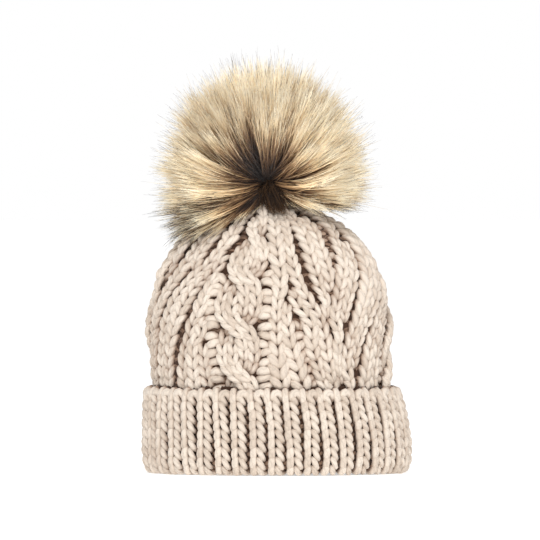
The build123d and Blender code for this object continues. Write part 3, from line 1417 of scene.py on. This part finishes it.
class Coat(Enum):
    """The kinds of hair in the coat."""

    UNDERFUR = HairKind("underfur", 20500, (60.0, 78.0), 0.31, 2.6, 1.0, (
        ROOT, (0.30, rgb(0.04, 0.017, 0.007)), (0.50, rgb(0.21, 0.11, 0.05)),
        (0.67, rgb(0.58, 0.37, 0.19)), (0.78, rgb(1.0, 0.82, 0.53)), (1.00, rgb(1.0, 0.93, 0.75)),
    ))
    GUARD = HairKind("guard_hair", 5200, (66.0, 82.0), 0.25, 4.2, 1.0, (
        ROOT, (0.34, rgb(0.05, 0.023, 0.010)), (0.58, rgb(0.25, 0.14, 0.07)),
        (0.75, rgb(0.90, 0.67, 0.41)), (0.93, rgb(1.0, 0.86, 0.60)), (0.98, rgb(0.07, 0.038, 0.020)),
    ))
    # Hair of the pom's underside, its tips brown to near black: painted shade under the pom.
    SHADED_UNDERSIDE = HairKind("shaded_underside_hair", 2800, (64.0, 84.0), 0.28, 3.8, -0.30, (
        ROOT, (0.45, rgb(0.08, 0.04, 0.018)), (0.60, rgb(0.34, 0.21, 0.10)),
        (0.70, rgb(0.22, 0.13, 0.065)), (0.80, rgb(0.03, 0.016, 0.009)), (1.00, rgb(0.016, 0.009, 0.005)),
    ))
    DARK = HairKind("dark_guard_hair", 450, (60.0, 81.0), 0.24, 4.6, 1.0, (
        ROOT, (0.40, rgb(0.04, 0.02, 0.01)), (0.70, rgb(0.20, 0.115, 0.055)),
        (0.85, rgb(0.16, 0.09, 0.045)), (1.00, rgb(0.03, 0.016, 0.009)),
    ))


@dataclass
class PomPom:
    """A fur pom pom: stuffing in a gathered backing, and a coat that parts low on its front."""

    form: HatForm
    locks: int = 560
    tuft_hairs: int = 800
    # Near-black colours of the parting tuft: partly the fur's dark roots, partly painted shade in the
    # parting and painted shadow under the pom.
    tuft_bands_with_painted_shadow: tuple = (
        (0.0, rgb(0.008, 0.003, 0.001)), (0.6, rgb(0.03, 0.014, 0.006)), (1.0, rgb(0.12, 0.065, 0.03)),
    )
    # Share of the tuft's hairs that hang over the peak, dark as painted shadow between the pom and the
    # crown.
    shadow_hanging_share: float = 0.25
    hanging_way: Triple = (0.32, -0.42, -0.85)
    longest: float = 79.0
    deepest: float = 82.3
    rings: int = 7
    per_piece: int = 5200
    heart_drop: float = 5.5
    heart_shift: float = 3.5
    root_depth: float = 1.5
    parting: Triple = (0.0, -0.72, -0.70)
    facing: Triple = (0.0, -0.97, -0.24)
    opened: float = 38.0
    open_until: float = 78.0
    crown_room: float = 1.5
    clearance: float = 3.0
    drape: float = 12.0
    lobe: Triple = (-0.62, -0.2, -0.76)
    lobe_reach: float = 8.0
    brown_side: Triple = (-0.5, -0.72, 0.48)
    shortest: float = 29.0
    sag: float = 3.5
    wave: float = 0.5
    taper: float = 0.85

    def __post_init__(self) -> None:
        """Reads the ball's size and place from the frame."""
        low, high = in_mm(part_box("pom_backing"))
        self.ball = (high[0] - low[0]) / 2
        self.centre = np.array([(high[0] + low[0]) / 2, 0.0, high[2] - self.ball])
        self.mouth = low[2]
        self.heart = self.centre - (self.heart_shift, 0, self.heart_drop)
        self.steps = np.linspace(0, 1, self.rings)
        self.random = np.random.default_rng(47)

    def directions(self, count: int) -> Array:
        """Evenly scattered directions, with a little disorder.

        Args:
            count: Number of directions.

        Returns:
            Directions of length one.
        """
        place = (np.arange(count) + 0.5) / count
        height = 1 - 2 * place
        turn = np.arange(count) * pi * (3 - np.sqrt(5))
        flat = np.sqrt(1 - height**2)
        spread = np.stack([flat * np.cos(turn), flat * np.sin(turn), height], axis=-1)
        return unit(spread + self.random.normal(0, 0.035, (count, 3)))

    def parted(self, tips: Array) -> tuple[Array, Array]:
        """Turns the tips that would point at the viewer outwards, round the parting.

        Args:
            tips: Directions of the tips, evenly spread.

        Returns:
            The new directions, and 1 for a lock at the parting falling to 0 for one far from it.
        """
        facing = unit(np.array(self.facing))
        cosine = np.clip(tips @ facing, -1, 1)
        angle = np.degrees(np.arccos(cosine))
        fanned = self.opened + angle * (self.open_until - self.opened) / self.open_until
        turned = np.radians(np.where(angle < self.open_until, fanned, angle))
        away = unit(tips - cosine[:, None] * facing)
        near = 1 - np.clip((np.degrees(turned) - 50) / 75, 0, 1)
        near = near * near * (3 - 2 * near)
        return facing * np.cos(turned)[:, None] + away * np.sin(turned)[:, None], near

    def floor_at(self, x: Array) -> Array:
        """Lowest height of the coat, which droops to the left."""
        side = x - self.centre[0]
        return self.mouth - self.drape + 0.5 * np.minimum(side, 0) + 0.09 * np.maximum(side, 0)

    def off_crown(self, points: Array) -> Array:
        """Lifts points that would be inside the crown to just above its stitches.

        Args:
            points: Points of the hairs.

        Returns:
            The points, lifted where that is needed.
        """
        side = points[..., 0] - self.form.lean
        out = np.hypot(side, points[..., 1] / self.form.ratio)
        out = out / (self.form.crown_half + self.crown_room)
        rise = self.form.peak - self.form.belly_height
        dome = np.clip(1 - out**self.form.roundness, 0, 1) ** (1 / self.form.roundness)
        low = self.form.belly_height + rise * dome + self.clearance
        lifted = np.where(out < 1, np.maximum(points[..., 2], low), points[..., 2])
        return np.concatenate([points[..., :2], lifted[..., None]], axis=-1)

    def coat(self, kind: HairKind) -> tuple[Array, Array, Array]:
        """Grows one kind of hair in locks.

        Args:
            kind: The kind of hair.

        Returns:
            Paths of the hairs, the radius at each point, and a shade for each hair.
        """
        draw = self.random
        tips, near = self.parted(self.directions(self.locks))
        level = draw.random(self.locks) ** 0.8
        shade = self.patches(tips) + draw.normal(0, 0.22, self.locks)
        which = draw.choice(np.nonzero(tips[:, 2] <= kind.highest)[0], kind.count)
        count = len(which)
        tip, close = tips[which], near[which, None]
        parting = unit(np.array(self.parting))
        root = unit(parting * close + tip * (1.0 - 0.8 * close) + draw.normal(0, 0.1, (count, 3)))
        start = self.centre + root * (self.ball - self.root_depth)
        low, high = kind.reach
        part = 0.6 * level[which] + 0.4 * draw.random(count) + draw.normal(0, 0.08, count)
        reach = low + (high - low) * np.clip(part, 0, 1.15)
        reach = np.minimum(reach, self.longest / np.maximum(np.abs(tip[:, 1]), 0.01))
        reach = reach + self.lobe_reach * np.clip(tip @ unit(np.array(self.lobe)), 0, 1) ** 9
        under = self.heart[2] - self.floor_at(self.heart[0] + tip[:, 0] * reach)
        under = (under + draw.normal(0, 1.8, count)) / np.maximum(-tip[:, 2], 0.01)
        reach = np.where(tip[:, 2] < 0, np.minimum(reach, under), reach)
        keep = reach > self.shortest
        reach = reach[:, None]
        end = self.heart + tip * reach + draw.normal(0, kind.stray, (count, 3))
        end[:, 1] = np.clip(end[:, 1], -self.deepest, self.deepest)
        middle = unit(root * 0.55 + tip * 0.6)
        bulge = self.heart + middle * reach * (0.66 - 0.05 * close)
        bulge = bulge + draw.normal(0, 1.6, (count, 3))
        t = self.steps[None, :, None]
        paths = start[:, None] * (1 - t) ** 2 + 2 * bulge[:, None] * t * (1 - t)
        paths = paths + end[:, None] * t**2
        wave = draw.normal(0, self.wave, (count, 1, 3))
        paths = paths + wave * np.sin(t * tau + draw.uniform(0, tau, (count, 1, 1)))
        paths[..., 2] -= self.sag * t[..., 0] ** 2 * (1 - np.abs(tip[:, 2:]))
        keep &= start[:, 2] > self.mouth - 1
        taper = 1 - self.taper * self.steps**2.5
        radii = kind.radius * taper[None] * draw.normal(1, 0.12, (count, 1))
        tint = np.clip(shade[which] + draw.normal(0, 0.15, count), 0, 1)
        return self.off_crown(paths[keep]), radii[keep], tint[keep]

    def patches(self, tips: Array) -> Array:
        """A shade that changes slowly over the coat.

        Args:
            tips: Directions of the locks.

        Returns:
            About 0 for a browner lock and 1 for a paler one.
        """
        draw = np.random.default_rng(5)
        axes = unit(draw.normal(0, 1, (6, 3)))
        waves = [np.sin(6.5 * tips @ axis + 1.9 * i) for i, axis in enumerate(axes)]
        brown = np.clip(tips @ unit(np.array(self.brown_side)), 0, 1) ** 4
        return 0.5 + 0.13 * np.sum(waves, axis=0) - 0.22 * brown

    def tuft(self) -> None:
        """Short dark hairs that close the parting and hang from it over the peak: partly the fur's dark
        roots, partly painted shade in the parting and painted shadow between the pom and the peak.
        """
        draw = self.random
        count = self.tuft_hairs
        parting = unit(np.array(self.parting))
        root = unit(parting + draw.normal(0, 0.15, (count, 3)))
        start = self.centre + root * (self.ball - self.root_depth)
        lean = unit(parting + draw.normal(0, 0.5, (count, 3)))
        # Hanging hairs stand in for painted shadow between the pom and the peak.
        hang = draw.random((count, 1)) < self.shadow_hanging_share
        down = unit(np.array(self.hanging_way) + draw.normal(0, 0.13, (count, 3)))
        lean = np.where(hang, down, lean)
        length = draw.uniform(4, 11, (count, 1)) + 12 * hang
        t = self.steps[None, :, None]
        bend = parting * 0.5 * length
        paths = start[:, None] + bend[:, None] * np.sin(t * pi / 2)
        paths = self.off_crown(paths + (lean * length)[:, None] * t**1.4)
        radii = 0.3 * (1 - self.taper * self.steps[None] ** 2) * np.ones((count, 1))
        batch = StrandBatch(3)
        batch.add(paths, radii, unit(paths - self.heart), np.zeros(radii.shape), draw.random(count))
        finish = HairFinish("parting_tuft", self.tuft_bands_with_painted_shadow, 0.8, 0.05).make()
        dress(batch.build("pom_parting_tuft"), finish, "pom")

    def fur(self) -> list[Piece]:
        """Grows the whole coat, in pieces of a size that other tools can open.

        Returns:
            The pieces.
        """
        pieces = []
        for coat in Coat:
            kind = coat.value
            finish = HairFinish(kind.name, kind.bands).make()
            paths, radii, tint = self.coat(kind)
            parts = int(np.ceil(len(paths) / self.per_piece))
            for i in range(parts):
                batch = StrandBatch(3)
                some = slice(i, None, parts)
                outward = unit(paths[some] - self.heart)
                flat = np.zeros(radii[some].shape)
                batch.add(paths[some], radii[some], outward, flat, tint[some])
                pieces.append(batch.build(f"pom_{kind.name}_{i + 1}"))
                dress(pieces[-1], finish, "pom")
        return pieces

    def ball_mesh(
        self, name: str, radius: float, lump: float, lumps: float, gathers: int
    ) -> Piece:
        """A closed ball with lumps and with folds that run into its gathered mouth.

        Args:
            name: Name of the piece.
            radius: Mean radius.
            lump: Height of the lumps.
            lumps: How many lumps there are for a radian.
            gathers: Number of folds round the mouth.

        Returns:
            The new object.
        """
        mesh = bpy.data.meshes.new(name)
        shape = bmesh.new()
        bmesh.ops.create_icosphere(shape, subdivisions=5, radius=1.0)
        shape.to_mesh(mesh)
        shape.free()
        points = np.empty(len(mesh.vertices) * 3)
        mesh.vertices.foreach_get("co", points)
        points = unit(points.reshape(-1, 3))
        turn = np.arctan2(points[:, 1], points[:, 0])
        low = np.clip(-points[:, 2] - 0.2, 0, 1)
        swell = np.zeros(len(points))
        for axis in self.directions(5):
            swell += np.sin(points @ axis * lumps + axis[0] * 9)
        reach = radius + lump * swell / 3 + 1.1 * low * np.cos(gathers * turn)
        points = self.centre + points * reach[:, None]
        mouth = self.mouth + 0.3 + 0.1 * np.cos(gathers * turn)
        points[:, 2] = np.maximum(points[:, 2], mouth)
        mesh.vertices.foreach_set("co", (points * MM).ravel())
        return link(name, mesh)

    def build(self) -> None:
        """Builds and dresses the pom pom."""
        pieces = self.fur()
        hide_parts("pom_fur_pile")
        self.tuft()
        roots = self.ball_mesh("pom_matted_roots", self.ball + 0.8, 0.9, 9.0, 14)
        dress(roots, Cloth.ROOTS.value.make(), "pom")
        backing = self.ball_mesh("pom_backing_bag", self.ball - 0.8, 0.35, 6.0, 22)
        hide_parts("pom_backing")
        dress(backing, Cloth.BACKING.value.make(), "pom")
        filling = self.ball_mesh("pom_fibre_filling", self.ball - 2.6, 0.5, 12.0, 9)
        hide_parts("pom_stuffing")
        dress(filling, Cloth.FILLING.value.make(), "pom")


# ---- what holds the pom pom on


@dataclass
class Fastening:
    """The elastic loop with its knot and button, the base disc, the gathering thread and the drawstring."""

    cord: float = 1.05
    knot_cord: float = 1.35
    cord_sides: int = 12
    disc_around: int = 96
    disc_hole: float = 0.28

    def middle(self, node: str) -> tuple[Array, Array]:
        """Middle and half size of a node's box."""
        low, high = in_mm(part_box(node))
        return (low + high) / 2, (high - low) / 2

    def twisted_ring(self, name: str, node: str, plies: int, ply: float, twist: int) -> Piece:
        """A ring of plied thread in the place of a node's ring.

        Args:
            name: Name of the piece.
            node: The node that gives its place and size.
            plies: Number of plies.
            ply: Radius of each ply.
            twist: Full turns of the plies round the ring.

        Returns:
            The new object.
        """
        middle, half = self.middle(node)
        thick = half[2]
        ring = half[0] - thick
        turn = np.linspace(0, tau, 40 * plies)
        batch = StrandBatch(8)
        for k in range(plies):
            phase = twist * turn + k * tau / plies
            out = ring + (thick - ply) * np.cos(phase)
            rise = (thick - ply) * np.sin(phase)
            path = np.stack([out * np.cos(turn), out * np.sin(turn), rise], axis=-1)
            batch.add_one(middle + path, ply, (0.0, 0.0, 1.0))
        return batch.build(name)

    def loop(self) -> Piece:
        """The doubled elastic, from the knot round the button's web and back.

        Returns:
            The new object.
        """
        low, high = in_mm(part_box("elastic_loop"))
        middle, half = (low + high) / 2, (high - low) / 2
        side = half[0] - half[1]
        turn = np.linspace(0, pi, 13)
        foot = low[2] + half[1]
        bend = np.stack(
            [-side * np.cos(turn), 0 * turn, foot + side * (1 - np.sin(turn))], axis=-1
        )
        rise = np.linspace(high[2], foot + side, 24)[:-1]
        left = np.stack([np.full_like(rise, -side), 0 * rise, rise], axis=-1)
        path = np.concatenate([left, bend, (left * (-1, 1, 1))[::-1]])
        batch = StrandBatch(self.cord_sides)
        batch.add_one(path + (middle[0], middle[1], 0), self.cord, (0.0, -1.0, 0.0))
        return batch.build("elastic_loop_cord")

    def knot(self) -> Piece:
        """The tied knot, three crossings of cord drawn into a ball.

        Returns:
            The new object.
        """
        middle, half = self.middle("loop_knot")
        turn = np.linspace(0, tau, 120)
        size = half[0] - self.knot_cord
        x = (np.sin(turn) + 2 * np.sin(2 * turn)) / 3
        y = (np.cos(turn) - 2 * np.cos(2 * turn)) / 3
        path = middle + size * np.stack([x, y, -0.62 * np.sin(3 * turn)], axis=-1)
        batch = StrandBatch(self.cord_sides)
        batch.add_one(path, self.knot_cord, (0.0, 0.0, 1.0))
        return batch.build("elastic_knot")

    def disc(self) -> Piece:
        """The felt disc, a little wavy, with a rolled edge.

        Returns:
            The new object.
        """
        middle, half = self.middle("pom_base_disc")
        around, hole = self.disc_around, self.disc_hole
        turn = np.arange(around) * tau / around
        rim = np.array([hole, hole, 0.34, 0.6, 0.88, 0.97, 1.0, 0.97, 0.88, 0.6, 0.34])
        rise = np.array([-0.6, 0.6, 0.95, 0.9, 0.95, 0.7, 0.0, -0.7, -0.95, -0.9, -0.95])
        ripple = 1 + 0.012 * np.sin(7 * turn) + 0.008 * np.sin(19 * turn + 1)
        out = half[0] * rim[None] * np.where(rim[None] > hole, ripple[:, None], 1) * 0.99
        height = middle[2] + half[2] * rise[None] * (0.93 + 0.05 * np.sin(5 * turn)[:, None])
        x = middle[0] + out * np.cos(turn)[:, None]
        y = middle[1] + out * np.sin(turn)[:, None]
        verts = np.stack([x, y, height + 0 * x], axis=-1)
        rows = len(rim)
        index = np.arange(around * rows).reshape(around, rows)
        ahead = np.roll(index, -1, axis=0)
        next_up, next_ahead = np.roll(index, -1, axis=1), np.roll(ahead, -1, axis=1)
        faces = np.stack([index, next_up, next_ahead, ahead], axis=-1)
        return surface("pom_felt_disc", verts, faces)

    def build(self, yarn: bpy.types.Material) -> None:
        """Builds and dresses the fastening.

        Args:
            yarn: The yarn's material, for the drawstring.
        """
        elastic = Cloth.ELASTIC.value.make()
        plastic = MouldedFinish("button_plastic", rgb(0.34, 0.22, 0.13), rgb(0.20, 0.12, 0.07))
        drawstring = self.twisted_ring("drawstring_yarn", "crown_drawstring", 3, 1.1, 6)
        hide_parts("crown_drawstring")
        dress(drawstring, yarn, "hat")
        gather = self.twisted_ring("gathering_thread", "pom_gather_thread", 2, 0.45, 30)
        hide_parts("pom_gather_thread")
        dress(gather, Cloth.THREAD.value.make(), "pom")
        disc = self.disc()
        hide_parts("pom_base_disc")
        dress(disc, Cloth.FELT.value.make(), "pom")
        knot = self.knot()
        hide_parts("loop_knot")
        dress(knot, elastic, "knot")
        loop = self.loop()
        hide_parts("elastic_loop")
        loop.data.materials.append(elastic)
        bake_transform(loop)
        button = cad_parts["inner_button"]
        button.data.materials.clear()
        button.data.materials.append(plastic.make())


# ---- studio


@dataclass
class Studio:
    """A pale floor, soft lights and the camera, in metres and watts."""

    distance: float = 5.0
    elevation: float = 0.5
    seen_width: float = 0.38
    sensor: float = 36.0
    aim: Triple = (-0.0049, 0.0, 0.1428)
    lit_point: Triple = (0.0, 0.0, 0.15)
    world_strength: float = 0.6
    floor_size: float = 200.0
    floor_glow: float = 0.5

    def floor(self) -> None:
        """A large pale floor with a faint grain."""
        bpy.ops.mesh.primitive_plane_add(size=self.floor_size)
        floor = bpy.context.object
        floor.name = "studio_floor"
        r = Recipe("pale_floor")
        grain = r.noise(30, 3)
        colour = r.mix(grain, rgb(0.90, 0.90, 0.90), rgb(0.94, 0.94, 0.94))
        r.shader.inputs["Emission Color"].default_value = rgb(1, 1, 1)
        pale = r.finish(colour, 0.9, specular_ior_level=0.1, emission_strength=self.floor_glow)
        floor.data.materials.append(pale)

    def lamp(self, name: str, place: Triple, size: float, power: float) -> None:
        """A soft square light that faces the hat.

        Args:
            name: Name of the light.
            place: Where it hangs, in metres.
            size: Length of its side, in metres.
            power: Power in watts.
        """
        light = bpy.data.lights.new(name, "AREA")
        light.size = size
        light.energy = power
        lamp = bpy.data.objects.new(name, light)
        lamp.location = place
        way = Vector(self.lit_point) - lamp.location
        lamp.rotation_euler = way.to_track_quat("-Z", "Y").to_euler()
        bpy.context.scene.collection.objects.link(lamp)

    def camera(self) -> None:
        """The camera, a little above level, far off as with a long lens."""
        data = bpy.data.cameras.new("camera")
        data.sensor_width = self.sensor
        data.lens = self.sensor * self.distance / self.seen_width
        camera = bpy.data.objects.new("camera", data)
        target = Vector(self.aim)
        tilt = radians(self.elevation)
        camera.location = target + self.distance * Vector((0, -np.cos(tilt), np.sin(tilt)))
        camera.rotation_euler = (target - camera.location).to_track_quat("-Z", "Y").to_euler()
        bpy.context.scene.collection.objects.link(camera)
        bpy.context.scene.camera = camera

    def build(self) -> None:
        """Sets up the whole studio."""
        scene = bpy.context.scene
        world = bpy.data.worlds.new("studio")
        scene.world = world
        world.use_nodes = True
        tree = world.node_tree
        sky = tree.nodes["Background"]
        sky.inputs["Color"].default_value = rgb(1, 1, 1)
        seen = tree.nodes.new("ShaderNodeLightPath").outputs["Is Camera Ray"]
        strength = tree.nodes.new("ShaderNodeMapRange")
        strength.inputs["To Min"].default_value = self.world_strength
        tree.links.new(seen, strength.inputs["Value"])
        tree.links.new(strength.outputs["Result"], sky.inputs["Strength"])
        scene.view_settings.view_transform = "Standard"
        self.floor()
        self.lamp("key", (-0.2, -1.5, 1.6), 0.7, 29)
        self.lamp("fill", (1.3, -1.2, 0.6), 1.2, 6)
        self.camera()


def corners(box: tuple) -> list[list[float]]:
    """A box's corners as plain lists."""
    return [[float(value) for value in corner] for corner in box]


def main() -> None:
    """Builds the hat from the brim up, then the studio."""
    logging.basicConfig(level=logging.INFO, format="%(message)s")
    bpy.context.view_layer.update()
    form = HatForm()
    yarn = YarnFinish().make()
    RibBrim(form).build(yarn)
    CableCrown(form).build(yarn)
    PomPom(form).build()
    Fastening().build(yarn)
    Studio().build()


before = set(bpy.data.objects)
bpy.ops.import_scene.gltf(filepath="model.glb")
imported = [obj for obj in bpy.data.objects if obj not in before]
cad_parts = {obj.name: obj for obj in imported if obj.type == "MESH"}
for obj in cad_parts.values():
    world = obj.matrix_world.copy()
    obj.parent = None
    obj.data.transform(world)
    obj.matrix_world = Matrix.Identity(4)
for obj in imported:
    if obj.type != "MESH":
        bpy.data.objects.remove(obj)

if __name__ == "__main__":
    main()
